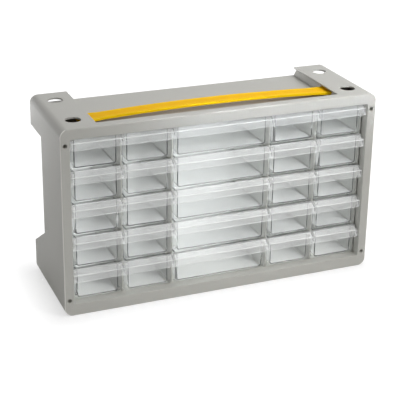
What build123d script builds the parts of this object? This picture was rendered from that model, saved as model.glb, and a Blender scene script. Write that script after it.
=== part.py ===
from build123d import *
import math
import os

# Parts bin cabinet: a moulded frame with ears, feet and C-shaped side wings, a drawer
# housing screwed into it from the front, four partitions with runner ribs, twenty small
# and five double-width clear drawers, and a yellow carrying strap between the ears.
# Millimetres. X runs to the right, Y from the drawer fronts to the back, Z up.
# The origin is the middle of the footprint, on the surface that the cabinet stands on.

# ---- driving sizes ---------------------------------------------------------------------
WIDTH = 490.0
DEPTH = 165.0
HEIGHT = 285.0
WALL = 2.5
CORNER_R = 12.0            # long outer edges, seen from the front

# frame: bezel opening and the strip along its top and bottom
SIDE_BEZEL = 14.0
OPENING_BOTTOM = 18.0
OPENING_TOP = 269.0
OPENING_R = 3.0
FACE_EDGE_R = 1.6
STRIP_DEPTH = 16.0
JAMB_WALL = 2.2
JAMB_DEPTH = 14.7
MEET = 0.2                 # clearance between the frame and the housing
BITE = 1.0                 # how far one moulded wall runs into the next

# ears above the top recess and feet below, mirror images in their section
EAR_WIDTH = 49.3
EAR_LEAN = 7.5
RECESS_DROP = 13.5
EAR_CAP = 8.0              # width of the flange along the top of an ear's inner wall
EAR_HOLE_D = 22.8
EAR_HOLE_INSET = 29.5
EAR_HOLE_DEPTHS = (37.0, 129.0)

# side wings, as depths behind the bezel face and heights above the ground
WING_DEPTH = 83.0
EAR_UNDERSIDE = 239.5
FOOT_SLOPE_TOP = 102.0
FOOT_SLOPE_END = 51.5
NOTCH_R = 5.0
WING_RIB_HEIGHTS = (137.0, 171.0, 205.0)
WING_RIB_T = 2.0

# corner screws, sunk in the bezel
SCREW_INSET = 7.3
SCREW_HEIGHTS = (24.5, 261.0)
SCREW_RECESS_D = 6.2
SCREW_SEAT_DEPTH = 11.7
SCREW_HEAD_D = 5.6
SCREW_HEAD_T = 2.2
SCREW_SHANK_D = 2.9
SCREW_LENGTH = 14.0
SCREW_BOSS_D = 9.6
SCREW_HOLE_D = 3.3
PILOT_D = 3.0
SCREW_SLOT_L = 4.0
SCREW_SLOT_W = 0.8
LUG_DEPTH = 12.5
LUG_H = 9.0
LUG_MARGIN = 3.8

# drawer housing
HOUSING_HALF = 230.0
HOUSING_WALL = 2.3
HOUSING_TOP = 271.5
HOUSING_BOTTOM = 15.5
HOUSING_FRONT = 15.0
HOUSING_CORNER_R = 3.0
BACK_T = 2.5
BACK_RIM = 1.0
BACK_CLEAR = 0.15
BACK_LEDGE = 1.5
BACK_RIB_W = 8.0
BACK_RIB_T = 0.8

# drawer grid
COLUMN_PITCH = 76.67
ROW_PITCH = 50.2
ROWS = 5
PARTITION_T = 2.0
PARTITION_FRONT = 15.6
RUNNER_BACK = 159.0
KEEPER_FRONT = 35.6
RUNNER_W = 4.4
RUNNER_T = 1.6
KEEPER_W = 2.8
KEEPER_T = 1.2
RUNNER_GAP = 0.3
KEEPER_GAP = 0.7
WALL_RUNNER_W = 3.9
GROOVE_RIB_H = 2.4
GROOVE_RIB_T = 1.3
GROOVE_GAP = 0.05

# drawers
FRONT_GAP = 2.7            # between two front plates in a row
LIP_GAP = 1.1              # between two finger lips in a row
PLATE_DEPTH = 12.5         # front plate, behind the bezel face
PLATE_T = 1.8
PLATE_RISE = 2.0           # plate's lower edge above the row's lower line
PLATE_TOP_GAP = 0.6
PLATE_R = 5.0
LIP_FRONT = 1.8
LIP_DROP = 6.0
LIP_SKIRT = 11.0
LIP_T = 1.5
WEB_RETURN = 3.0           # how far the end web's lower edge stays off the plate
SMALL_BODY = 62.0
BODY_RISE = 3.4
BODY_T = 1.5
BODY_FLOOR_R = 4.0
BODY_BACK = 155.0
BACK_WALL_DROP = 6.0
RIM_TOP = 45.6
RIM_T = 1.5
RIM_W = 4.6

# carrying strap
STRAP_W = 26.0
STRAP_END_W = 34.0
STRAP_T = 3.4
STRAP_DEPTH = 60.0
STRAP_END_Z = 276.6
STRAP_RISE = 5.4
STRAP_HALF = 191.0
STRAP_FLARE = 22.0
STRAP_TAIL = 9.0
STRAP_HEAD_L = 4.0
STRAP_HEAD_SIDE = 3.0      # how much the head stands out past the flared end
STRAP_BEND_R = 18.0
STRAP_DIMPLE_D = 2.4
STRAP_DIMPLE_X = 187.5
SLOT_W = 36.0
SLOT_BOTTOM = 274.8
SLOT_TOP = 281.1

HALF_W = WIDTH / 2
OPENING_HALF = HALF_W - SIDE_BEZEL
RECESS_Z = HEIGHT - RECESS_DROP
EAR_TOP_X = HALF_W - EAR_WIDTH
EAR_FOOT_X = EAR_TOP_X - EAR_LEAN
HOUSING_INNER = HOUSING_HALF - HOUSING_WALL
SCREW_X = HALF_W - SCREW_INSET
BACK_FRONT = DEPTH - BACK_RIM - BACK_T
SIDES = (-1, 1)


def back(depth):
    """Y of a plane that lies this far behind the bezel face."""
    return depth - DEPTH / 2


def block(x0, x1, d0, d1, z0, z1):
    """Box between two X, two depths behind the bezel face and two heights."""
    centre = Pos((x0 + x1) / 2, back((d0 + d1) / 2), (z0 + z1) / 2)
    return centre * Box(abs(x1 - x0), abs(d1 - d0), abs(z1 - z0))


def along_depth(section, d0, d1):
    """Section in X and Z, swept from one depth to another."""
    return extrude(Plane.XZ.offset(-back(d1)) * section, d1 - d0)


def along_width(section, x0, x1):
    """Section in Y and Z, swept from one X to another."""
    return extrude(Plane.YZ.offset(x0) * section, x1 - x0)


def outline(points):
    return make_face(Polyline(*points, close=True))


def rounded(width, z0, z1, radius):
    """Rounded rectangle in X and Z, centred on X."""
    return Pos(0, (z0 + z1) / 2) * RectangleRounded(width, z1 - z0, radius)


def post(x, z, diameter, d0, d1):
    """Round post or hole along Y."""
    return along_depth(Pos(x, z) * Circle(diameter / 2), d0, d1)


# ---- frame -----------------------------------------------------------------------------
def frame_shell():
    """Bezel plate and the ring of outer walls behind it."""
    outer = along_depth(rounded(WIDTH, 0, HEIGHT, CORNER_R), 0, DEPTH)
    outer = fillet(outer.faces().sort_by(Axis.Y)[0].edges(), FACE_EDGE_R)
    hollow = rounded(WIDTH - 2 * WALL, WALL, HEIGHT - WALL, CORNER_R - WALL)
    return outer - along_depth(hollow, WALL, DEPTH + 1)


def wing_notch():
    """Prism cut from the rear of both sides, which leaves the C-shaped wings."""
    points = [
        (back(WING_DEPTH), FOOT_SLOPE_TOP),
        (back(DEPTH), FOOT_SLOPE_END),
        (back(DEPTH) + 40, FOOT_SLOPE_END - 24),
        (back(DEPTH) + 40, EAR_UNDERSIDE),
        (back(WING_DEPTH), EAR_UNDERSIDE),
    ]
    face = outline(points)
    inner = [v for v in face.vertices() if abs(v.X - back(WING_DEPTH)) < 0.01]
    return along_width(fillet(inner, NOTCH_R), -HALF_W - 1, HALF_W + 1)


def recess(z0, z1):
    """Space between the ears, or between the feet, open at the back."""
    return block(-EAR_FOOT_X, EAR_FOOT_X, STRIP_DEPTH, DEPTH + 1, z0, z1)


def ear_wall(side, tip, foot):
    """Leaning inner wall of an ear or foot, from the outer face at tip to the housing."""
    under = tip - math.copysign(WALL, tip - foot)
    start = STRIP_DEPTH - WALL
    points = [
        (side * EAR_TOP_X, tip),
        (side * (EAR_TOP_X + 1.6 * WALL), tip),
        (side * (EAR_FOOT_X + 1.25 * WALL), foot),
        (side * EAR_FOOT_X, foot),
    ]
    wall = along_depth(outline(points), start, DEPTH)
    return wall + block(side * EAR_TOP_X, side * (EAR_TOP_X + EAR_CAP), start, DEPTH, under, tip)


def front_frame():
    shell = frame_shell()
    shell -= recess(RECESS_Z, HEIGHT + 1)
    shell -= recess(-1, HEIGHT - RECESS_Z)
    opening = rounded(2 * OPENING_HALF, OPENING_BOTTOM, OPENING_TOP, OPENING_R)
    jamb_low = OPENING_BOTTOM - JAMB_WALL
    jamb_high = OPENING_TOP + JAMB_WALL
    jamb = rounded(2 * (OPENING_HALF + JAMB_WALL), jamb_low, jamb_high, OPENING_R + JAMB_WALL)
    shell += along_depth(jamb, WALL, JAMB_DEPTH)
    # strip walls that close the back of the top and bottom bezel
    strip = STRIP_DEPTH - WALL
    shell += block(-EAR_TOP_X, EAR_TOP_X, strip, STRIP_DEPTH, RECESS_Z + MEET, HEIGHT - BITE)
    shell += block(-EAR_TOP_X, EAR_TOP_X, strip, STRIP_DEPTH, BITE, HOUSING_BOTTOM - MEET)
    for side in SIDES:
        shell += ear_wall(side, HEIGHT, HOUSING_TOP)
        shell += ear_wall(side, 0, HOUSING_BOTTOM)
        shell += wing_bulkhead(side)
        for height in WING_RIB_HEIGHTS:
            shell += wing_rib(side, height)
        for height in SCREW_HEIGHTS:
            shell += post(side * SCREW_X, height, SCREW_BOSS_D, BITE, JAMB_DEPTH)
    shell -= along_depth(opening, -1, JAMB_DEPTH + 1)
    shell -= wing_notch()
    for side in SIDES:
        shell -= strap_slot(side)
        for depth in EAR_HOLE_DEPTHS:
            hole = Pos(side * (HALF_W - EAR_HOLE_INSET), back(depth), HEIGHT)
            shell -= hole * Cylinder(EAR_HOLE_D / 2, 4 * WALL)
        for height in SCREW_HEIGHTS:
            shell -= post(side * SCREW_X, height, SCREW_RECESS_D, -1, SCREW_SEAT_DEPTH)
            shell -= post(side * SCREW_X, height, SCREW_HOLE_D, 0, JAMB_DEPTH + 1)
    return shell


def wing_bulkhead(side):
    """Wall across the back of the wing's hollow, behind the bezel and beside the housing."""
    start = WING_DEPTH - WALL
    near = side * (HOUSING_HALF + 2 * MEET)
    over = side * (EAR_TOP_X + 2)
    outer = side * (HALF_W - CORNER_R)
    wall = block(near, side * (HALF_W - BITE), start, WING_DEPTH, CORNER_R, HEIGHT - CORNER_R)
    wall += block(over, outer, start, WING_DEPTH, HOUSING_TOP + MEET, HEIGHT - BITE)
    wall += block(over, outer, start, WING_DEPTH, BITE, HOUSING_BOTTOM - MEET)
    return wall


def wing_rib(side, height):
    """Level rib across the hollow of a wing."""
    near = side * (OPENING_HALF + BITE)
    far = side * (HALF_W - BITE)
    return block(near, far, WALL - BITE, WING_DEPTH - BITE, height, height + WING_RIB_T)


def strap_slot(side):
    """Slot through an ear's leaning wall for the strap's tail."""
    near = side * (EAR_FOOT_X - 1)
    far = side * (EAR_TOP_X + EAR_CAP)
    return block(near, far, STRAP_DEPTH - SLOT_W / 2, STRAP_DEPTH + SLOT_W / 2, SLOT_BOTTOM, SLOT_TOP)


# ---- housing ---------------------------------------------------------------------------
def rail_height(row):
    """Top of the runner ribs of a row."""
    return OPENING_BOTTOM + row * ROW_PITCH + RIM_TOP - RIM_T - RUNNER_GAP


def keeper_height(row):
    """Underside of the ribs that keep a pulled-out drawer level."""
    return OPENING_BOTTOM + row * ROW_PITCH + RIM_TOP + KEEPER_GAP


def rib_pair(x, toward, row, width):
    """Runner and keeper rib of one row, on the side of a wall at x."""
    runner = rail_height(row)
    keeper = keeper_height(row)
    pair = block(x, x + toward * width, PARTITION_FRONT, RUNNER_BACK, runner - RUNNER_T, runner)
    if row < ROWS - 1:
        far = x + toward * KEEPER_W
        pair += block(x, far, KEEPER_FRONT, RUNNER_BACK, keeper, keeper + KEEPER_T)
    return pair


def partition_planes():
    """X of the four partitions, left to right."""
    return [k * COLUMN_PITCH for k in (-2, -1, 1, 2)]


def drawer_housing():
    """Sleeve round the drawers, with runner ribs, grooves and screw lugs."""
    outer = rounded(2 * HOUSING_HALF, HOUSING_BOTTOM, HOUSING_TOP, HOUSING_CORNER_R)
    inner = rounded(2 * HOUSING_INNER, OPENING_BOTTOM, OPENING_TOP, 1.0)
    sleeve = along_depth(outer - inner, HOUSING_FRONT, DEPTH)
    for side in SIDES:
        for row in range(ROWS):
            sleeve += rib_pair(side * (HOUSING_INNER + BITE / 2), -side, row, WALL_RUNNER_W + BITE / 2)
        for height in SCREW_HEIGHTS:
            sleeve += screw_lug(side, height)
    for x in partition_planes():
        for edge in SIDES:
            near = x + edge * (PARTITION_T / 2 + GROOVE_GAP)
            far = near + edge * GROOVE_RIB_T
            for floor, rise in ((OPENING_BOTTOM, GROOVE_RIB_H), (OPENING_TOP, -GROOVE_RIB_H)):
                root = floor - math.copysign(BITE, rise)
                sleeve += block(near, far, PARTITION_FRONT + 1, BODY_BACK, root, floor + rise)
    # ledge that the back panel is pushed in against
    ledge = rounded(2 * HOUSING_INNER + BITE, OPENING_BOTTOM - BITE / 2, OPENING_TOP + BITE / 2, 1.0)
    ledge -= rounded(2 * HOUSING_INNER - 4, OPENING_BOTTOM + 2, OPENING_TOP - 2, 1.0)
    sleeve += along_depth(ledge, BACK_FRONT - BACK_LEDGE, BACK_FRONT)
    return sleeve


def screw_lug(side, height):
    """Block outside the housing that a corner screw bites into."""
    near = side * (HOUSING_HALF - BITE)
    far = side * (SCREW_X + LUG_MARGIN)
    end = JAMB_DEPTH + LUG_DEPTH
    lug = block(near, far, JAMB_DEPTH, end, height - LUG_H / 2, height + LUG_H / 2)
    return lug - post(side * SCREW_X, height, PILOT_D, JAMB_DEPTH - 1, end + 1)


def back_panel():
    """Flat panel pushed into the rear of the housing, with shallow stiffening ribs."""
    low = OPENING_BOTTOM + BACK_CLEAR
    high = OPENING_TOP - BACK_CLEAR
    plate = rounded(2 * (HOUSING_INNER - BACK_CLEAR), low, high, 1.0)
    panel = along_depth(plate, BACK_FRONT, DEPTH - BACK_RIM)
    rib = DEPTH - BACK_RIM
    for x in partition_planes():
        near = x - BACK_RIB_W / 2
        panel += block(near, near + BACK_RIB_W, rib - 0.5, rib + BACK_RIB_T, low + 6, high - 6)
    return panel


def partition(x):
    """Upright sheet between two columns, with runner and keeper ribs on both faces."""
    half = PARTITION_T / 2
    end = BACK_FRONT - BACK_LEDGE - 0.1
    sheet = block(x - half, x + half, PARTITION_FRONT, end, OPENING_BOTTOM, OPENING_TOP)
    for side in SIDES:
        for row in range(ROWS):
            sheet += rib_pair(x + side * (half - 0.5), side, row, RUNNER_W + 0.5)
    return sheet


def corner_screws():
    """Four screws that hold the housing to the frame, as one group of solids."""
    crown = SCREW_SEAT_DEPTH - SCREW_HEAD_T
    long = SCREW_SLOT_L / 2
    thin = SCREW_SLOT_W / 2
    screws = []
    for side in SIDES:
        for height in SCREW_HEIGHTS:
            x = side * SCREW_X
            screw = post(x, height, SCREW_HEAD_D, crown, SCREW_SEAT_DEPTH)
            screw += post(x, height, SCREW_SHANK_D, crown + 1, SCREW_SEAT_DEPTH + SCREW_LENGTH)
            screw -= block(x - long, x + long, crown - 1, crown + 1, height - thin, height + thin)
            screw -= block(x - thin, x + thin, crown - 1, crown + 1, height - long, height + long)
            screws.append(screw)
    return Compound(children=screws)


# ---- drawers ---------------------------------------------------------------------------
def drawer(x, row, columns):
    """Clear drawer: front plate with finger lip, tray body and side rims."""
    line = OPENING_BOTTOM + row * ROW_PITCH
    pitch_width = columns * COLUMN_PITCH
    plate_half = (pitch_width - FRONT_GAP) / 2
    lip_half = (pitch_width - LIP_GAP) / 2
    body_half = SMALL_BODY / 2 + (columns - 1) * COLUMN_PITCH / 2
    low = line + PLATE_RISE
    top = line + ROW_PITCH - PLATE_TOP_GAP
    plate = front_plate(x, plate_half, low, top)
    lip = finger_lip(x, lip_half, top)
    return plate + lip + tray(x, body_half, line)


def front_plate(x, half, low, top):
    """Flat front with rounded lower corners."""
    return along_depth(trough(x, half, low, top, PLATE_R), PLATE_DEPTH, PLATE_DEPTH + PLATE_T)


def finger_lip(x, half, top):
    """Sloping ledge, upright skirt and the two webs that close its ends."""
    front = back(LIP_FRONT)
    root = back(PLATE_DEPTH)
    knee = top - LIP_DROP
    hem = knee - LIP_SKIRT
    ledge = outline([
        (root + 0.5, top),
        (front, knee),
        (front, hem),
        (front + LIP_T, hem),
        (front + LIP_T, knee - 0.6 * LIP_T),
        (root + 0.5, top - 1.25 * LIP_T),
    ])
    web = outline([
        (root + 0.5, top - 0.5),
        (front + 0.4, knee - 0.6),
        (front + 0.4, hem),
        (front + 1.4 * LIP_T, hem),
        (root - WEB_RETURN, hem + 1.5 * WEB_RETURN),
        (root + 0.5, hem - 0.8 * WEB_RETURN),
    ])
    lip = along_width(ledge, x - half, x + half)
    for side in SIDES:
        end = x + side * half
        lip += along_width(web, min(end, end - side * LIP_T), max(end, end - side * LIP_T))
    return lip


def tray(x, half, line):
    """Open box behind the front plate, with rounded lower edges and a rim each side."""
    low = line + BODY_RISE
    top = line + RIM_TOP
    start = PLATE_DEPTH + PLATE_T / 2
    end = BODY_BACK - BODY_T
    outer = trough(x, half, low, top, BODY_FLOOR_R)
    inner = trough(x, half - BODY_T, low + BODY_T, top + 1, BODY_FLOOR_R - BODY_T)
    box = along_depth(outer, start, BODY_BACK) - along_depth(inner, PLATE_DEPTH + PLATE_T, end)
    box -= block(x - half - 1, x + half + 1, end - 0.5, BODY_BACK + 1, top - BACK_WALL_DROP, top + 1)
    for side in SIDES:
        edge = x + side * (half - BITE / 2)
        far = edge + side * (RIM_W + BITE / 2)
        box += block(edge, far, PARTITION_FRONT + 1, BODY_BACK - 2, top - RIM_T, top)
    return box


def trough(x, half, low, top, radius):
    """Upright rectangle in X and Z with its two lower corners rounded."""
    section = Pos(x, (low + top) / 2) * Rectangle(2 * half, top - low)
    return fillet(section.vertices().sort_by(Axis.Y)[:2], radius)


# ---- strap -----------------------------------------------------------------------------
def strap_height(x):
    """Mid-height of the strap: a low arch between the ears."""
    reach = min(abs(x) / STRAP_HALF, 1.0)
    return STRAP_END_Z + STRAP_RISE * (1 - reach ** 2)


def strap_band():
    """Arched band with flared ends that run through the ears' walls."""
    steps = 12
    xs = [STRAP_HALF * (2 * k / steps - 1) for k in range(steps + 1)]
    crest = [(x, strap_height(x) + STRAP_T / 2) for x in xs]
    under = [(x, strap_height(x) - STRAP_T / 2) for x in xs]
    tail = STRAP_HALF + STRAP_TAIL
    high = crest[0][1]
    low = under[0][1]
    edge = Line((-tail, high), crest[0])
    edge += Spline(*crest)
    edge += Line(crest[-1], (tail, high))
    edge += Line((tail, high), (tail, low))
    edge += Line((tail, low), under[-1])
    edge += Spline(*under[::-1])
    edge += Line(under[0], (-tail, low))
    edge += Line((-tail, low), (-tail, high))
    half = STRAP_END_W / 2
    return along_depth(make_face(edge), STRAP_DEPTH - half, STRAP_DEPTH + half) & strap_plan()


def strap_plan():
    """Plan of the strap, narrow between its flared ends."""
    tail = STRAP_HALF + STRAP_TAIL
    flare = STRAP_HALF - STRAP_FLARE
    w = STRAP_W / 2
    e = STRAP_END_W / 2
    y = back(STRAP_DEPTH)
    front = [(-tail, -e), (-STRAP_HALF, -e), (-flare, -w), (flare, -w), (STRAP_HALF, -e), (tail, -e)]
    rear = [(x, -offset) for x, offset in reversed(front)]
    face = outline([(x, y + offset) for x, offset in front + rear])
    corners = [v for v in face.vertices() if abs(abs(v.X) - flare) < 0.01]
    return extrude(Plane.XY.offset(HOUSING_TOP) * fillet(corners, STRAP_BEND_R), 2 * RECESS_DROP)


def carrying_strap():
    """The band with the heads that keep its tails in the ears, and a dimple near each end."""
    strap = strap_band()
    tail = STRAP_HALF + STRAP_TAIL
    reach = STRAP_END_W / 2 + STRAP_HEAD_SIDE
    low = STRAP_END_Z - STRAP_T / 2
    high = STRAP_END_Z + STRAP_T / 2
    for side in SIDES:
        near = side * (tail - BITE)
        far = side * (tail + STRAP_HEAD_L)
        strap += block(near, far, STRAP_DEPTH - reach, STRAP_DEPTH + reach, low, high)
        dimple = Pos(side * STRAP_DIMPLE_X, back(STRAP_DEPTH), STRAP_END_Z + STRAP_T)
        strap -= dimple * Cylinder(STRAP_DIMPLE_D / 2, 2 * STRAP_T)
    return strap


# ---- output ----------------------------------------------------------------------------
def build_all():
    nodes = {
        "front_frame": front_frame(),
        "drawer_housing": drawer_housing(),
        "back_panel": back_panel(),
        "corner_screws": corner_screws(),
        "carrying_strap": carrying_strap(),
    }
    for number, x in enumerate(partition_planes(), start=1):
        nodes[f"partition_{number}"] = partition(x)
    columns = [(-2.5, 1), (-1.5, 1), (0, 2), (1.5, 1), (2.5, 1)]
    for column, (place, units) in enumerate(columns, start=1):
        for row in range(ROWS):
            nodes[f"drawer_c{column}_r{row + 1}"] = drawer(place * COLUMN_PITCH, row, units)
    return nodes


os.makedirs("parts", exist_ok=True)
for name, solid in build_all().items():
    export_step(solid, f"parts/{name}.step")
    print(name, round(solid.volume / 1000, 1), "cm3")
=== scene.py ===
"""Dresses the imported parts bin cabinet: grey moulded frame, clear drawers, yellow carrying strap."""

from __future__ import annotations

import logging
import math
from dataclasses import dataclass, field
from enum import Enum, IntEnum

import bmesh
import bpy
from mathutils import Matrix, Vector

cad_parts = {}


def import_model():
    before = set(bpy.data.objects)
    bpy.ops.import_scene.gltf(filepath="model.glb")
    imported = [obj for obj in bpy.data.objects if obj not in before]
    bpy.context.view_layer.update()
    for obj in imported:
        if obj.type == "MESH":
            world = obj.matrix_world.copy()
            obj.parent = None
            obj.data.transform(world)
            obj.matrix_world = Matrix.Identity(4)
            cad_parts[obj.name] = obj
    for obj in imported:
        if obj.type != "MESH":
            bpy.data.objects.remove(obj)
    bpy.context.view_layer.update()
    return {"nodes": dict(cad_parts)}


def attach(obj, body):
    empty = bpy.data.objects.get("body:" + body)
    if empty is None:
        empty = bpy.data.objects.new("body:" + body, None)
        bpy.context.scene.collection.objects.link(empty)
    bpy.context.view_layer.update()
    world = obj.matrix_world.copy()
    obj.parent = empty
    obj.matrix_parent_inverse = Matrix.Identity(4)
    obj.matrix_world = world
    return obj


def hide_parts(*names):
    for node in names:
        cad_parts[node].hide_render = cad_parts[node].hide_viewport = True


log = logging.getLogger("parts_cabinet")
MM = 0.001
PICTURE_SIDE = 400
DEEP = 1       # the axis from front to back
UPRIGHT = 2

# sRGB's straight part and its curve
SRGB_KNEE = 0.04045
SRGB_SLOPE = 12.92
SRGB_OFFSET = 0.055
SRGB_GAMMA = 2.4

# a ray passes a dozen clear walls on its way through the drawers
CLEAR_BOUNCES = 28
DIFFUSE_BOUNCES = 8
SHADOW_BOUNCES = 40


def linear(code: str) -> tuple[float, float, float, float]:
    """Turns an sRGB hex colour into linear light.

    Args:
        code: Six hex digits after a hash sign.

    Returns:
        Red, green, blue and a full fourth channel.
    """
    digits = code.lstrip("#")
    channels = [int(digits[k:k + 2], 16) / 255 for k in (0, 2, 4)]
    lit = [
        c / SRGB_SLOPE if c <= SRGB_KNEE else ((c + SRGB_OFFSET) / (1 + SRGB_OFFSET)) ** SRGB_GAMMA
        for c in channels
    ]
    return (lit[0], lit[1], lit[2], 1.0)


def per_metre(size_mm: float) -> float:
    """Gives the noise scale of a pattern from its real size.

    Args:
        size_mm: Width of one patch or grain.

    Returns:
        How many of them lie in a metre.
    """
    return 1 / (size_mm * MM)


def add_node(
    tree: bpy.types.NodeTree,
    kind: str,
    settings: dict[str | int, object] | None = None,
    links: dict[str | int, bpy.types.NodeSocket] | None = None,
) -> bpy.types.Node:
    """Adds one shader node.

    Args:
        tree: Node tree that gets the node.
        kind: Blender's name for the node type.
        settings: Values by input name or number, or by attribute name where no input has it.
        links: Output sockets by the name or number of the input that each goes into.

    Returns:
        The new node.
    """
    node = tree.nodes.new(kind)
    for name, value in (settings or {}).items():
        if isinstance(name, int) or name in node.inputs:
            node.inputs[name].default_value = value
        else:
            setattr(node, name, value)
    for name, socket in (links or {}).items():
        tree.links.new(socket, node.inputs[name])
    return node


def blank_material(name: str) -> bpy.types.Material:
    """Makes a node material with nothing in it.

    Args:
        name: Name of the material.

    Returns:
        The material.
    """
    material = bpy.data.materials.new(name)
    material.use_nodes = True
    material.node_tree.nodes.clear()
    return material


def let_lamps_through(tree: bpy.types.NodeTree, surface: bpy.types.NodeSocket, tint: str) -> None:
    """Ends a see-through material, so that lamp light reaches what is behind it.

    Args:
        tree: The material's node tree.
        surface: Shader that the eye sees.
        tint: Colour that the plastic gives the light, as sRGB hex.
    """
    passing = add_node(tree, "ShaderNodeBsdfTransparent", {"Color": linear(tint)})
    path = add_node(tree, "ShaderNodeLightPath")
    mixed = add_node(
        tree,
        "ShaderNodeMixShader",
        links={0: path.outputs["Is Shadow Ray"], 1: surface, 2: passing.outputs["BSDF"]},
    )
    add_node(tree, "ShaderNodeOutputMaterial", links={"Surface": mixed.outputs["Shader"]})


def seen_directly(tree: bpy.types.NodeTree, *rays: str) -> bpy.types.NodeSocket:
    """Tells the rays that see a white background from those that light the object.

    Args:
        tree: Node tree of the background.
        rays: Names of the Light Path outputs that see white.

    Returns:
        A socket that is 1 for any of those rays.
    """
    path = add_node(tree, "ShaderNodeLightPath")
    seen = path.outputs[rays[0]]
    for ray in rays[1:]:
        either = add_node(
            tree, "ShaderNodeMath", {"operation": "MAXIMUM"}, {0: seen, 1: path.outputs[ray]}
        )
        seen = either.outputs[0]
    return seen


@dataclass(frozen=True)
class MouldedPolystyrene:
    """Grey impact polystyrene from a fine spark-eroded mould: dull, with a soft even grain."""

    name: str = "grey_moulded_polystyrene"
    shade: str = "#b1b0aa"
    worn: str = "#b8b7b1"
    cloud_mm: float = 71.43    # patches where the melt flowed together
    grain_mm: float = 0.9      # the real grain is 0.1 mm; this is as fine as the picture shows
    roughness: float = 0.42
    uneven: float = 0.05
    bump_mm: float = 0.02
    bump_strength: float = 0.35
    ior: float = 1.55

    def material(self) -> bpy.types.Material:
        """Builds the material.

        Returns:
            Matte grey plastic with faint flow clouding and grain.
        """
        material = blank_material(self.name)
        tree = material.node_tree
        place = add_node(tree, "ShaderNodeTexCoord").outputs["Object"]
        cloud = add_node(
            tree, "ShaderNodeTexNoise", {"Scale": per_metre(self.cloud_mm), "Detail": 2.0}, {"Vector": place}
        )
        grain = add_node(
            tree, "ShaderNodeTexNoise", {"Scale": per_metre(self.grain_mm), "Detail": 2.0}, {"Vector": place}
        )
        tone = add_node(
            tree,
            "ShaderNodeMix",
            {"data_type": "RGBA", 6: linear(self.shade), 7: linear(self.worn)},
            {0: cloud.outputs["Fac"]},
        )
        rough = add_node(
            tree,
            "ShaderNodeMapRange",
            {"To Min": self.roughness - self.uneven, "To Max": self.roughness + self.uneven},
            {"Value": cloud.outputs["Fac"]},
        )
        bump = add_node(
            tree,
            "ShaderNodeBump",
            {"Strength": self.bump_strength, "Distance": self.bump_mm * MM},
            {"Height": grain.outputs["Fac"]},
        )
        shader = add_node(
            tree,
            "ShaderNodeBsdfPrincipled",
            {"IOR": self.ior},
            {
                "Base Color": tone.outputs[2],
                "Roughness": rough.outputs["Result"],
                "Normal": bump.outputs["Normal"],
            },
        )
        add_node(tree, "ShaderNodeOutputMaterial", links={"Surface": shader.outputs["BSDF"]})
        return material


# bezel's rounded upright rims, near white: a painted highlight, a light line down either side
RIM_PAINTED_HIGHLIGHT = MouldedPolystyrene(
    name="grey_rim_painted_highlight", shade="#e6e4de", worn="#eceae5", roughness=0.3, bump_mm=0.005
)


@dataclass(frozen=True)
class ClearPolystyrene:
    """Clear crystal polystyrene: polished by its mould, and all but colourless."""

    name: str = "clear_polystyrene"
    tint: str = "#fdfefe"
    flow_mm: float = 28.57     # slow waves in the moulded walls
    roughness: float = 0.02
    clearness: float = 0.97    # the rest is the milky haze of handled clear plastic
    bump_mm: float = 0.4
    bump_strength: float = 0.05
    ior: float = 1.5

    def material(self) -> bpy.types.Material:
        """Builds the material.

        Returns:
            Clear plastic that lets lamp light through to what is inside.
        """
        material = blank_material(self.name)
        tree = material.node_tree
        place = add_node(tree, "ShaderNodeTexCoord").outputs["Object"]
        flow = add_node(
            tree, "ShaderNodeTexNoise", {"Scale": per_metre(self.flow_mm), "Detail": 1.0}, {"Vector": place}
        )
        bump = add_node(
            tree,
            "ShaderNodeBump",
            {"Strength": self.bump_strength, "Distance": self.bump_mm * MM},
            {"Height": flow.outputs["Fac"]},
        )
        clear = add_node(
            tree,
            "ShaderNodeBsdfPrincipled",
            {
                "Base Color": linear(self.tint),
                "Roughness": self.roughness,
                "IOR": self.ior,
                "Transmission Weight": self.clearness,
            },
            {"Normal": bump.outputs["Normal"]},
        )
        let_lamps_through(tree, clear.outputs["BSDF"], self.tint)
        return material


# rounded edges made milky white: a painted highlight, so that they show as white lines
EDGE_PAINTED_HIGHLIGHT = ClearPolystyrene(name="clear_edge_painted_highlight", tint="#ffffff", roughness=0.25, clearness=0.45)
# finger lip and its ledge made partly milky white: a painted highlight, so that the ledge shows as a pale
# band
LEDGE_PAINTED_HIGHLIGHT = ClearPolystyrene(name="ledge_painted_highlight", tint="#ffffff", roughness=0.12, clearness=0.8)
LIP_PAINTED_HIGHLIGHT = ClearPolystyrene(name="lip_painted_highlight", tint="#ffffff", roughness=0.1, clearness=0.9)
# tray floor made milky white, so that it shows bright: painted light
FLOOR_PAINTED_LIGHT = ClearPolystyrene(name="floor_painted_light", tint="#ffffff", roughness=0.25, clearness=0.55)


@dataclass(frozen=True)
class MilkySheet:
    """Thin natural-white sheet at the back: it glows where daylight comes through from behind."""

    name: str = "milky_polypropylene"
    shade: str = "#f3f5f4"
    passing_tint: str = "#c0c4c2"
    cloud_mm: float = 111.1
    roughness: float = 0.4
    uneven: float = 0.05
    clearness: float = 0.8
    ior: float = 1.1           # low, so that the thin sheet hardly mirrors

    def material(self) -> bpy.types.Material:
        """Builds the material.

        Returns:
            Translucent white plastic.
        """
        material = blank_material(self.name)
        tree = material.node_tree
        place = add_node(tree, "ShaderNodeTexCoord").outputs["Object"]
        cloud = add_node(
            tree, "ShaderNodeTexNoise", {"Scale": per_metre(self.cloud_mm), "Detail": 2.0}, {"Vector": place}
        )
        rough = add_node(
            tree,
            "ShaderNodeMapRange",
            {"To Min": self.roughness - self.uneven, "To Max": self.roughness + self.uneven},
            {"Value": cloud.outputs["Fac"]},
        )
        shader = add_node(
            tree,
            "ShaderNodeBsdfPrincipled",
            {"Base Color": linear(self.shade), "IOR": self.ior, "Transmission Weight": self.clearness},
            {"Roughness": rough.outputs["Result"]},
        )
        let_lamps_through(tree, shader.outputs["BSDF"], self.passing_tint)
        return material


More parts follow.
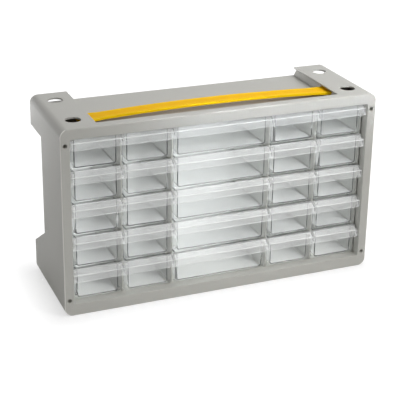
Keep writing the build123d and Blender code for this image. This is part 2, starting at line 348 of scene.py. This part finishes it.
@dataclass(frozen=True)
class YellowGrip:
    """Yellow polypropylene strap: warm, dense colour, with a painted shade along the middle and a painted
    highlight along both edges.
    """

    name: str = "yellow_polypropylene"
    # the lighter colour along both edges is a painted highlight, the deeper one along the middle a painted
    # shade
    shade: str = "#fcd410"
    painted_shade_middle: str = "#f5b600"
    middle_y_mm: float = -22.5
    edge_highlight_mm: tuple[float, float] = (5.0, 13.0)    # distance from the middle where the painted shade starts to give way to the painted edge highlight, and where it ends
    cloud_mm: float = 16.67
    cloud_share: float = 0.35
    grain_mm: float = 1.111    # the real grain is finer than the picture shows
    roughness: float = 0.55
    bump_mm: float = 0.02
    bump_strength: float = 0.3
    ior: float = 1.49
    specular: float = 0.08     # a dull face, so that lamps don't bleach the yellow

    def material(self) -> bpy.types.Material:
        """Builds the material.

        Returns:
            Satin yellow plastic.
        """
        material = blank_material(self.name)
        tree = material.node_tree
        place = add_node(tree, "ShaderNodeTexCoord").outputs["Object"]
        cloud = add_node(
            tree, "ShaderNodeTexNoise", {"Scale": per_metre(self.cloud_mm), "Detail": 2.0}, {"Vector": place}
        )
        spot = add_node(tree, "ShaderNodeSeparateXYZ", links={0: place})
        across = add_node(
            tree,
            "ShaderNodeMath",
            {"operation": "SUBTRACT", 1: self.middle_y_mm * MM},
            {0: spot.outputs["Y"]},
        )
        away = add_node(tree, "ShaderNodeMath", {"operation": "ABSOLUTE"}, {0: across.outputs[0]})
        # painted shade along the middle, fading into a painted highlight towards both edges
        rim = add_node(
            tree,
            "ShaderNodeMapRange",
            {"From Min": self.edge_highlight_mm[0] * MM, "From Max": self.edge_highlight_mm[1] * MM},
            {"Value": away.outputs[0]},
        )
        share = add_node(
            tree,
            "ShaderNodeMix",
            {"data_type": "FLOAT", 0: self.cloud_share},
            {2: rim.outputs["Result"], 3: cloud.outputs["Fac"]},
        )
        tone = add_node(
            tree,
            "ShaderNodeMix",
            {"data_type": "RGBA", 6: linear(self.painted_shade_middle), 7: linear(self.shade)},
            {0: share.outputs[0]},
        )
        grain = add_node(
            tree, "ShaderNodeTexNoise", {"Scale": per_metre(self.grain_mm), "Detail": 2.0}, {"Vector": place}
        )
        bump = add_node(
            tree,
            "ShaderNodeBump",
            {"Strength": self.bump_strength, "Distance": self.bump_mm * MM},
            {"Height": grain.outputs["Fac"]},
        )
        shader = add_node(
            tree,
            "ShaderNodeBsdfPrincipled",
            {"Roughness": self.roughness, "IOR": self.ior, "Specular IOR Level": self.specular},
            {"Base Color": tone.outputs[2], "Normal": bump.outputs["Normal"]},
        )
        add_node(tree, "ShaderNodeOutputMaterial", links={"Surface": shader.outputs["BSDF"]})
        return material


@dataclass(frozen=True)
class PlatedScrew:
    """Zinc-plated screw steel: grey, with blotches where handling has dulled it."""

    name: str = "zinc_plated_steel"
    shade: str = "#77756f"
    blotch_mm: float = 2.0
    bright_roughness: float = 0.3
    dulled_roughness: float = 0.55

    def material(self) -> bpy.types.Material:
        """Builds the material.

        Returns:
            Dull plated metal with uneven plating.
        """
        material = blank_material(self.name)
        tree = material.node_tree
        place = add_node(tree, "ShaderNodeTexCoord").outputs["Object"]
        blotch = add_node(
            tree,
            "ShaderNodeTexNoise",
            {"Scale": per_metre(self.blotch_mm), "Detail": 3.0},
            {"Vector": place},
        )
        rough = add_node(
            tree,
            "ShaderNodeMapRange",
            {"To Min": self.bright_roughness, "To Max": self.dulled_roughness},
            {"Value": blotch.outputs["Fac"]},
        )
        shader = add_node(
            tree,
            "ShaderNodeBsdfPrincipled",
            {"Base Color": linear(self.shade), "Metallic": 1.0},
            {"Roughness": rough.outputs["Result"]},
        )
        add_node(tree, "ShaderNodeOutputMaterial", links={"Surface": shader.outputs["BSDF"]})
        return material


def dress(piece: bpy.types.Object, material: bpy.types.Material) -> None:
    """Gives a piece one material all over.

    Args:
        piece: Mesh object.
        material: Its finish.
    """
    if piece.material_slots:
        for place in piece.material_slots:
            place.material = material
    else:
        piece.data.materials.append(material)


def select_only(piece: bpy.types.Object) -> None:
    """Selects one object and makes it active.

    Args:
        piece: The object.
    """
    bpy.ops.object.select_all(action="DESELECT")
    piece.select_set(True)
    bpy.context.view_layer.objects.active = piece


class Corners(Enum):
    """Which hard corners of a part are rounded."""

    ALL = "every sharp one"
    BOX = "those on the part's own box, so that narrow slots and recesses stay as they are"
    FACE = "the outward ones of a drawer's face and finger lip"


class FinishPlace(IntEnum):
    """Where each finish stands among a softened part's materials."""

    PLAIN = 0
    EDGE = 1
    LEDGE = 2
    LIP = 3
    FLOOR = 4


@dataclass(frozen=True)
class RoundHole:
    """A moulded hole, seen along one axis."""

    axis: int
    centre_mm: tuple[float, float, float]
    reach_mm: float

    def rims(self, point: Vector) -> bool:
        """Tells whether a point is on the hole's rim.

        Args:
            point: Place in metres.

        Returns:
            True within the hole's reach, measured across its axis.
        """
        away = point / MM - Vector(self.centre_mm)
        depth = abs(away[self.axis])
        away[self.axis] = 0.0
        return away.length < self.reach_mm and depth < self.reach_mm


@dataclass
class SoftenedPart:
    """A moulded part whose hard corners get the small radii of a real moulding."""

    node: str
    name: str
    body: str
    slot: str
    finishes: tuple[bpy.types.Material, ...]    # in the order of FinishPlace
    radius_mm: float
    corners: Corners = Corners.ALL
    holes: tuple[RoundHole, ...] = ()
    hole_share: float = 0.3          # how much of the radius a hole's rim gets
    segments: int = 2
    corner_deg: float = 38.0
    smooth_deg: float = 32.0
    merge_mm: float = 0.005
    flat_deg: float = 0.5
    box_play_mm: float = 0.1         # how near the part's box a corner counts as on it
    bezel_round_y_mm: float = -80.8  # further forward: only the bezel's face and its rounded rim
    rim_slant: float = 0.25          # least share of a highlighted rim's normal, forward and sideways
    rim_front: float = 0.97          # a normal more forward than this is the bezel's flat face
    lip_root_y_mm: float = -70.2     # further forward: a drawer's finger lip
    face_root_y_mm: float = -66.5    # further forward: a drawer's face or lip
    ledge_up: float = 0.5            # upright share of a ledge's normal
    floor_up: float = 0.98           # upright share of a tray floor's normal
    floor_mm2: float = 3000.0        # only a tray's floor is level and as large as this

    def build(self, source: bpy.types.Object) -> bpy.types.Object:
        """Copies the part, merges it, rounds its corners and shares out its finishes.

        Args:
            source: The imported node.

        Returns:
            The dressed piece, in place of the node.
        """
        piece = self.merged_copy(source)
        dress(piece, self.finishes[FinishPlace.PLAIN])
        for finish in self.finishes[FinishPlace.EDGE:]:
            piece.data.materials.append(finish)
        for face in piece.data.polygons:
            face.material_index = self.finish_of(face)
        self.round_corners(piece)
        # only a drawer's face and lip keep the painted highlight on their rounded edges
        if self.corners is Corners.FACE:
            for face in piece.data.polygons:
                behind_lip = face.center.y > self.lip_root_y_mm * MM
                if face.material_index == FinishPlace.EDGE and behind_lip:
                    face.material_index = FinishPlace.PLAIN
        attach(piece, self.body)
        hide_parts(self.node)
        return piece

    def merged_copy(self, source: bpy.types.Object) -> bpy.types.Object:
        """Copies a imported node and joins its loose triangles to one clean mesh.

        Args:
            source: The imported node.

        Returns:
            The copy, with flat faces whole again.
        """
        select_only(source)
        bpy.ops.object.duplicate()
        piece = bpy.context.view_layer.objects.active
        piece.name = self.name
        piece.data.name = self.name
        bpy.ops.object.mode_set(mode="EDIT")
        bpy.ops.mesh.select_all(action="SELECT")
        bpy.ops.mesh.remove_doubles(threshold=self.merge_mm * MM)
        bpy.ops.mesh.dissolve_limited(angle_limit=math.radians(self.flat_deg))
        bpy.ops.object.mode_set(mode="OBJECT")
        bpy.ops.object.shade_smooth_by_angle(angle=math.radians(self.smooth_deg))
        return piece

    def finish_of(self, face: bpy.types.MeshPolygon) -> FinishPlace:
        """Chooses the finish of one face.

        Args:
            face: Face of the merged part, before its corners are rounded.

        Returns:
            Where the finish stands among the part's materials.
        """
        forward, normal = face.center.y, face.normal
        if self.corners is Corners.BOX:
            # the bezel's slanted upright rims take the near-white finish: a painted highlight
            slanted = self.rim_slant < -normal.y < self.rim_front and abs(normal.x) > self.rim_slant
            if forward < self.bezel_round_y_mm * MM and slanted:
                return FinishPlace.EDGE
        elif self.corners is Corners.FACE:
            if forward < self.lip_root_y_mm * MM:
                # a drawer's lip and ledge take milky finishes: a painted highlight
                return FinishPlace.LEDGE if abs(normal.z) > self.ledge_up else FinishPlace.LIP
            # a large level tray floor takes a milky finish: painted light
            level = normal.z > self.floor_up and face.area > self.floor_mm2 * MM * MM
            if forward > self.face_root_y_mm * MM and level:
                return FinishPlace.FLOOR
        return FinishPlace.PLAIN

    def round_corners(self, piece: bpy.types.Object) -> None:
        """Rounds the part's corners, the new faces of a drawer in the milky edge finish that paints their
        highlight.

        Args:
            piece: The part.
        """
        bevel = piece.modifiers.new("moulded_corners", "BEVEL")
        bevel.width = self.radius_mm * MM
        bevel.segments = self.segments
        bevel.limit_method = "ANGLE"
        bevel.angle_limit = math.radians(self.corner_deg)
        if self.corners is not Corners.ALL:
            self.weigh_corners(piece)
            bevel.limit_method = "WEIGHT"
        bevel.use_clamp_overlap = self.corners is Corners.ALL
        bevel.harden_normals = True
        bevel.material = FinishPlace.EDGE if self.corners is Corners.FACE else -1
        bpy.ops.object.modifier_apply(modifier=bevel.name)

    def weigh_corners(self, piece: bpy.types.Object) -> None:
        """Marks the corners to round, less strongly at the rims of holes.

        Args:
            piece: The part.
        """
        mesh = bmesh.new()
        mesh.from_mesh(piece.data)
        weight = mesh.edges.layers.float.new("bevel_weight_edge")
        spans = [(min(v.co[k] for v in mesh.verts), max(v.co[k] for v in mesh.verts)) for k in range(3)]
        for edge in mesh.edges:
            if len(edge.link_faces) != 2 or edge.calc_face_angle() < math.radians(self.corner_deg):
                continue
            middle = (edge.verts[0].co + edge.verts[1].co) / 2
            near = min(abs(middle[k] - limit) for k, limits in enumerate(spans) for limit in limits)
            if self.corners is Corners.BOX and near < self.box_play_mm * MM:
                edge[weight] = self.hole_share if any(hole.rims(middle) for hole in self.holes) else 1.0
            elif self.corners is Corners.FACE and edge.is_convex and middle.y < self.face_root_y_mm * MM:
                edge[weight] = 1.0
        mesh.to_mesh(piece.data)
        mesh.free()


@dataclass
class PartsCabinet:
    """The cabinet: frame, housing, drawers and strap."""

    nodes: dict[str, bpy.types.Object]
    drawer_radius_mm: float = 0.7
    strap_radius_mm: float = 0.5
    frame_radius_mm: float = 1.0
    bezel_y_mm: float = -82.5
    screw_x_mm: float = 237.7
    screw_heights_mm: tuple[float, float] = (24.5, 261.0)
    screw_reach_mm: float = 6.0
    ear_top_mm: float = 285.0
    ear_hole_x_mm: float = 215.5
    ear_hole_depths_mm: tuple[float, float] = (-45.5, 46.5)
    ear_hole_reach_mm: float = 13.0
    grey: bpy.types.Material = field(default_factory=MouldedPolystyrene().material)
    # near-white finish of the bezel's upright rims: a painted highlight
    rim_highlight: bpy.types.Material = field(default_factory=RIM_PAINTED_HIGHLIGHT.material)
    clear: bpy.types.Material = field(default_factory=ClearPolystyrene().material)
    # milky edge, ledge, lip and floor finishes: painted highlights, and painted light on the floor
    edge_highlight: bpy.types.Material = field(default_factory=EDGE_PAINTED_HIGHLIGHT.material)
    ledge: bpy.types.Material = field(default_factory=LEDGE_PAINTED_HIGHLIGHT.material)
    lip: bpy.types.Material = field(default_factory=LIP_PAINTED_HIGHLIGHT.material)
    floor: bpy.types.Material = field(default_factory=FLOOR_PAINTED_LIGHT.material)
    milky: bpy.types.Material = field(default_factory=MilkySheet().material)
    yellow: bpy.types.Material = field(default_factory=YellowGrip().material)
    plated: bpy.types.Material = field(default_factory=PlatedScrew().material)

    def build(self) -> None:
        """Dresses every piece in order."""
        for name, node in sorted(self.nodes.items()):
            if name.startswith("drawer_c"):
                self.drawer(name).build(node)
            elif name == "carrying_strap":
                self.strap(name).build(node)
            elif name == "front_frame":
                self.frame(name).build(node)
            elif name == "corner_screws":
                dress(node, self.plated)
            elif name == "back_panel":
                dress(node, self.milky)
            else:
                dress(node, self.grey)
            log.info("dressed %s", name)

    def drawer(self, name: str) -> SoftenedPart:
        """Describes one clear drawer.

        Args:
            name: Its node, which is also the body that it slides as.

        Returns:
            Drawer with milky finishes: a painted highlight on its face edges, lip and ledge, and painted
                light on its tray floor.
        """
        return SoftenedPart(
            node=name,
            name=f"clear_{name}",
            body=name,
            slot="clear_plastic",
            finishes=(self.clear, self.edge_highlight, self.ledge, self.lip, self.floor),
            radius_mm=self.drawer_radius_mm,
            corners=Corners.FACE,
        )

    def strap(self, name: str) -> SoftenedPart:
        """Describes the carrying strap.

        Args:
            name: Its node.

        Returns:
            Strap with softened edges all round.
        """
        return SoftenedPart(
            node=name,
            name="yellow_strap",
            body="handle",
            slot="yellow_plastic",
            finishes=(self.yellow,),
            radius_mm=self.strap_radius_mm,
        )

    def frame(self, name: str) -> SoftenedPart:
        """Describes the moulded frame.

        Args:
            name: Its node.

        Returns:
            Frame with soft outer corners, upright rims with a painted highlight, and crisp screw and ear
            holes.
        """
        screw_holes = tuple(
            RoundHole(DEEP, (x, self.bezel_y_mm, z), self.screw_reach_mm)
            for x in (-self.screw_x_mm, self.screw_x_mm)
            for z in self.screw_heights_mm
        )
        ear_holes = tuple(
            RoundHole(UPRIGHT, (x, y, self.ear_top_mm), self.ear_hole_reach_mm)
            for x in (-self.ear_hole_x_mm, self.ear_hole_x_mm)
            for y in self.ear_hole_depths_mm
        )
        return SoftenedPart(
            node=name,
            name="moulded_frame",
            body="cabinet",
            slot="grey_plastic",
            finishes=(self.grey, self.rim_highlight),
            radius_mm=self.frame_radius_mm,
            corners=Corners.BOX,
            holes=screw_holes + ear_holes,
        )


@dataclass
class StudioCamera:
    """Camera at the photograph's viewing angle."""

    place_mm: tuple[float, float, float] = (-618.4, -1495.4, 807.6)
    turn_deg: float = 22.276
    tilt_deg: float = -21.202
    roll_deg: float = 0.825
    focal_px: float = 1143.4
    centre_row: float = 160.0
    sensor_mm: float = 36.0
    nearest: float = 0.05
    furthest: float = 30.0

    def build(self) -> bpy.types.Object:
        """Makes the scene's camera.

        Returns:
            The camera object.
        """
        turn = math.radians(self.turn_deg)
        tilt = math.radians(self.tilt_deg)
        roll = math.radians(self.roll_deg)
        ahead = Vector((math.sin(turn) * math.cos(tilt), math.cos(turn) * math.cos(tilt), math.sin(tilt)))
        level = Vector((math.cos(turn), -math.sin(turn), 0.0))
        above = level.cross(ahead)
        right = math.cos(roll) * level + math.sin(roll) * above
        up = -math.sin(roll) * level + math.cos(roll) * above
        data = bpy.data.cameras.new("studio_camera")
        data.sensor_width = self.sensor_mm
        data.lens = self.focal_px / PICTURE_SIDE * data.sensor_width
        data.shift_y = -(PICTURE_SIDE / 2 - self.centre_row) / PICTURE_SIDE
        data.clip_start = self.nearest
        data.clip_end = self.furthest
        camera = bpy.data.objects.new("studio_camera", data)
        bpy.context.collection.objects.link(camera)
        spin = Matrix((right, up, -ahead)).transposed().to_4x4()
        camera.matrix_world = Matrix.Translation(Vector(self.place_mm) * MM) @ spin
        bpy.context.scene.camera = camera
        return camera


@dataclass(frozen=True)
class Softbox:
    """A flat lamp turned towards the cabinet; its lengths are in metres."""

    name: str
    place: tuple[float, float, float]
    side: tuple[float, float]
    watts: float
    target: tuple[float, float, float] = (0.0, 0.0, 0.14)
    spread_deg: float = 180.0
    tint: str = "#ffffff"
    out_of_sight: bool = False

    def build(self) -> bpy.types.Object:
        """Makes the lamp.

        Returns:
            The lamp object.
        """
        data = bpy.data.lights.new(self.name, "AREA")
        data.shape = "RECTANGLE"
        data.size, data.size_y = self.side
        data.energy = self.watts
        data.spread = math.radians(self.spread_deg)
        data.color = linear(self.tint)[:3]
        lamp = bpy.data.objects.new(self.name, data)
        bpy.context.collection.objects.link(lamp)
        lamp.location = self.place
        aim = Vector(self.target) - Vector(self.place)
        lamp.rotation_euler = aim.to_track_quat("-Z", "Y").to_euler()
        lamp.visible_camera = not self.out_of_sight
        lamp.visible_transmission = not self.out_of_sight
        return lamp


SOFTBOXES = (
    # from the front right, above the cabinet
    Softbox(
        name="key_softbox",
        place=(0.55, -0.75, 0.85),
        side=(0.5, 0.5),
        watts=0.95,
        target=(0.08, -0.08, 0.25),
        spread_deg=60.0,
    ),
    # a narrow cool beam along the right half of the bezel's upper edge
    Softbox(
        name="strip_softbox",
        place=(0.35, -1.2, 0.42),
        side=(0.4, 0.04),
        watts=0.15,
        target=(0.13, -0.08, 0.33),
        spread_deg=14.0,
        tint="#eef6ff",
    ),
    # a weak one from the front left, so that the left side isn't lost in shade
    Softbox(name="fill_softbox", place=(-0.75, -1.3, 0.5), side=(0.6, 0.6), watts=1.4),
    # overhead and to the right: the top grows lighter from left to right
    Softbox(name="top_softbox", place=(0.52, 0.09, 1.5), side=(0.85, 0.25), watts=5.5),
    # behind the milky panel, and out of sight, because its outline would show through
    Softbox(name="rear_softbox", place=(0.0, 0.9, 0.14), side=(0.9, 0.26), watts=8.0, out_of_sight=True),
)


@dataclass
class Studio:
    """White table, white surroundings and soft lamps; its lengths are in metres."""

    table_side: float = 12.0
    paper: str = "#fafafa"
    table_white: float = 1.15
    table_glow: float = 0.5          # share of plain white under the cabinet; the rest takes shadow
    shadow_reach: float = 0.06       # how far past the footprint the table still takes shadow
    footprint: tuple[float, float] = (0.245, 0.0825)
    sky: float = 0.3

    def build(self) -> None:
        """Makes the floor, the world and the lamps."""
        self.table()
        self.surroundings()
        for softbox in SOFTBOXES:
            softbox.build()

    def table(self) -> None:
        """Makes the pale floor, which keeps the contact shadow."""
        bpy.ops.object.select_all(action="DESELECT")
        bpy.ops.mesh.primitive_plane_add(size=self.table_side)
        table = bpy.context.active_object
        table.name = "studio_table"
        material = blank_material("white_table")
        tree = material.node_tree
        paper = add_node(tree, "ShaderNodeBsdfDiffuse", {"Color": linear(self.paper)})
        glow = add_node(tree, "ShaderNodeEmission", {"Strength": self.table_white})
        seen = seen_directly(tree, "Is Camera Ray", "Is Transmission Ray")
        place = add_node(tree, "ShaderNodeTexCoord").outputs["Object"]
        folded = add_node(tree, "ShaderNodeVectorMath", {"operation": "ABSOLUTE"}, {0: place})
        past = add_node(
            tree,
            "ShaderNodeVectorMath",
            {"operation": "SUBTRACT", 1: (*self.footprint, 0.0)},
            {0: folded.outputs[0]},
        )
        outside = add_node(
            tree, "ShaderNodeVectorMath", {"operation": "MAXIMUM", 1: (0.0, 0.0, 0.0)}, {0: past.outputs[0]}
        )
        away = add_node(tree, "ShaderNodeVectorMath", {"operation": "LENGTH"}, {0: outside.outputs[0]})
        glow_share = add_node(
            tree,
            "ShaderNodeMapRange",
            {"From Max": self.shadow_reach, "To Min": self.table_glow, "To Max": 1.0},
            {"Value": away.outputs["Value"]},
        )
        share = add_node(
            tree,
            "ShaderNodeMath",
            {"operation": "MULTIPLY"},
            {0: seen, 1: glow_share.outputs["Result"]},
        )
        mixed = add_node(
            tree,
            "ShaderNodeMixShader",
            links={0: share.outputs[0], 1: paper.outputs["BSDF"], 2: glow.outputs["Emission"]},
        )
        add_node(tree, "ShaderNodeOutputMaterial", links={"Surface": mixed.outputs["Shader"]})
        dress(table, material)

    def surroundings(self) -> None:
        """Makes the world: white to the camera, softer as a light."""
        world = bpy.data.worlds.new("white_studio")
        bpy.context.scene.world = world
        world.use_nodes = True
        tree = world.node_tree
        tree.nodes.clear()
        seen = seen_directly(tree, "Is Camera Ray", "Is Transmission Ray", "Is Glossy Ray")
        soft = add_node(tree, "ShaderNodeBackground", {"Color": linear("#ffffff"), "Strength": self.sky})
        white = add_node(tree, "ShaderNodeBackground", {"Color": linear("#ffffff"), "Strength": 1.0})
        mixed = add_node(
            tree,
            "ShaderNodeMixShader",
            links={0: seen, 1: soft.outputs["Background"], 2: white.outputs["Background"]},
        )
        add_node(tree, "ShaderNodeOutputWorld", links={"Surface": mixed.outputs["Shader"]})


def main() -> None:
    """Builds the dressed cabinet in its studio."""
    logging.basicConfig(level=logging.INFO, format="%(name)s: %(message)s")
    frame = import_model()
    scene = bpy.context.scene
    scene.view_settings.view_transform = "Standard"
    scene.cycles.max_bounces = CLEAR_BOUNCES
    scene.cycles.transmission_bounces = CLEAR_BOUNCES
    scene.cycles.diffuse_bounces = DIFFUSE_BOUNCES
    scene.cycles.transparent_max_bounces = SHADOW_BOUNCES
    StudioCamera().build()
    Studio().build()
    PartsCabinet(nodes=frame["nodes"]).build()


if __name__ == "__main__":
    main()
